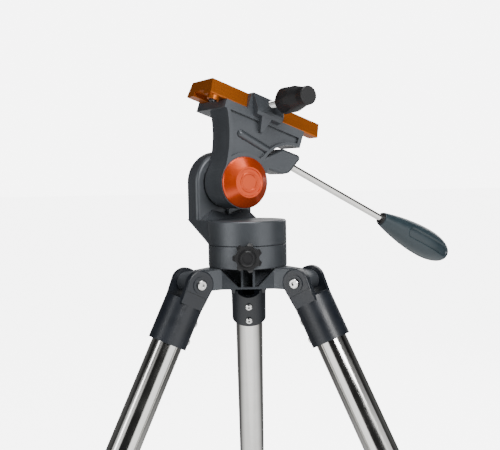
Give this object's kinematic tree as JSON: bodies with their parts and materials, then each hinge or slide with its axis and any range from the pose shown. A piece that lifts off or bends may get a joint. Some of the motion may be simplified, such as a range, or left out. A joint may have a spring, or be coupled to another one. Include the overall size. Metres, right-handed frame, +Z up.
{
  "type": "altazimuth telescope mount",
  "caption": "Altazimuth telescope mount on a folding tripod, with a one-armed fork, a tilting head, a dovetail bar and clamp, a pan handle and telescoping legs.",
  "frame": {"origin": "floor level on the azimuth axis", "axes": "+Z up, -Y towards the azimuth lock knob, +X to the right seen from there"},
  "size_m": [0.617, 0.5389, 0.7664],
  "materials": {
    "casting": "satin grey-blue paint over a die casting",
    "bracket": "fine-grained black plastic",
    "knob": "fine-grained black plastic",
    "cap": "satin orange paint over aluminium",
    "bar": "orange anodised",
    "tube": "polished",
    "steel": "zinc plated",
    "dark_steel": "black oxide",
    "bearing": "low-friction polymer",
    "bush": "plain",
    "foot": "matte",
    "grip": "matte"
  },
  "bodies": {
    "tripod_top": {"tripod_hub": "casting", "azimuth_bearing_ring": "bearing", "leg_pivot_pins": "steel", "leg_pivot_nuts": "steel"},
    "azimuth_lock": {"azimuth_lock_knob": "knob", "azimuth_lock_stud": "steel"},
    "yoke_arm": {"yoke": "casting", "azimuth_spindle": "steel", "azimuth_washer": "steel", "azimuth_nut": "steel", "altitude_axle": "dark_steel", "friction_washer": "bearing", "altitude_washer": "steel", "altitude_nut": "steel"},
    "head": {"altitude_head": "casting", "altitude_bush": "bush", "altitude_cap": "cap"},
    "handle": {"handle_rod": "tube", "handle_ferrule": "knob", "handle_grip": "grip"},
    "bar": {"dovetail_bar": "bar", "bar_stop_screw": "dark_steel"},
    "clamp": {"clamp_knob": "knob", "clamp_stud": "steel"},
    "leg_1": {"leg_1_bracket": "bracket", "leg_1_screws": "steel", "leg_1_upper_tube": "tube", "leg_1_collar": "bracket"},
    "leg_1_extension": {"leg_1_inner_tube": "tube", "leg_1_foot": "foot"},
    "leg_1_lock": {"leg_1_knob": "knob", "leg_1_knob_screw": "steel"},
    "leg_2": {"leg_2_bracket": "bracket", "leg_2_screws": "steel", "leg_2_upper_tube": "tube", "leg_2_collar": "bracket"},
    "leg_2_extension": {"leg_2_inner_tube": "tube", "leg_2_foot": "foot"},
    "leg_2_lock": {"leg_2_knob": "knob", "leg_2_knob_screw": "steel"},
    "leg_3": {"leg_3_bracket": "bracket", "leg_3_screws": "steel", "leg_3_upper_tube": "tube", "leg_3_collar": "bracket"},
    "leg_3_extension": {"leg_3_inner_tube": "tube", "leg_3_foot": "foot"},
    "leg_3_lock": {"leg_3_knob": "knob", "leg_3_knob_screw": "steel"}
  },
  "joints": [
    {"name": "azimuth", "type": "hinge", "parent": "tripod_top", "child": "yoke_arm", "pos_m": [0, 0, 0.59257], "axis": [0, 0, 1], "continuous": true},
    {"name": "altitude", "type": "hinge", "parent": "yoke_arm", "child": "head", "pos_m": [0, 0, 0.65677], "axis": [0.5, -0.866, 0], "range_deg": [-52, 34]},
    {"name": "bar_slide", "type": "slide", "parent": "head", "child": "bar", "axis": [0.8188, 0.4728, -0.3256], "range_m": [-0.025, 0.0035]},
    {"name": "clamp_turn", "type": "hinge", "parent": "head", "child": "clamp", "pos_m": [0.02474, 0.02214, 0.73886], "axis": [0.5141, -0.8563, 0.0495], "range_deg": [0, 180]},
    {"name": "handle_twist", "type": "hinge", "parent": "head", "child": "handle", "pos_m": [0.05656, 0.05864, 0.66947], "axis": [0.7764, 0.4482, -0.4431], "range_deg": [0, 180]},
    {"name": "azimuth_lock_turn", "type": "hinge", "parent": "tripod_top", "child": "azimuth_lock", "pos_m": [0, -0.0428, 0.58197], "axis": [0, -1, 0], "range_deg": [0, 180]},
    {"name": "leg_1_fold", "type": "hinge", "parent": "tripod_top", "child": "leg_1", "pos_m": [0, 0.0662, 0.55557], "axis": [1, 0, 0], "range_deg": [-28, 0]},
    {"name": "leg_1_slide", "type": "slide", "parent": "leg_1", "child": "leg_1_extension", "axis": [0, 0.4478, -0.8942], "range_m": [0, 0.25]},
    {"name": "leg_1_lock_turn", "type": "hinge", "parent": "leg_1", "child": "leg_1_lock", "pos_m": [0, 0.32676, 0.09555], "axis": [0, 0.8942, 0.4478], "range_deg": [0, 180]},
    {"name": "leg_2_fold", "type": "hinge", "parent": "tripod_top", "child": "leg_2", "pos_m": [-0.05733, -0.0331, 0.55557], "axis": [-0.5, 0.866, 0], "range_deg": [-28, 0]},
    {"name": "leg_2_slide", "type": "slide", "parent": "leg_2", "child": "leg_2_extension", "axis": [-0.3878, -0.2239, -0.8942], "range_m": [0, 0.25]},
    {"name": "leg_2_lock_turn", "type": "hinge", "parent": "leg_2", "child": "leg_2_lock", "pos_m": [-0.28298, -0.16338, 0.09555], "axis": [-0.7744, -0.4471, 0.4478], "range_deg": [0, 180]},
    {"name": "leg_3_fold", "type": "hinge", "parent": "tripod_top", "child": "leg_3", "pos_m": [0.05733, -0.0331, 0.55557], "axis": [-0.5, -0.866, 0], "range_deg": [-28, 0]},
    {"name": "leg_3_slide", "type": "slide", "parent": "leg_3", "child": "leg_3_extension", "axis": [0.3878, -0.2239, -0.8942], "range_m": [0, 0.25]},
    {"name": "leg_3_lock_turn", "type": "hinge", "parent": "leg_3", "child": "leg_3_lock", "pos_m": [0.28298, -0.16338, 0.09555], "axis": [0.7744, -0.4471, 0.4478], "range_deg": [0, 180]}
  ]
}
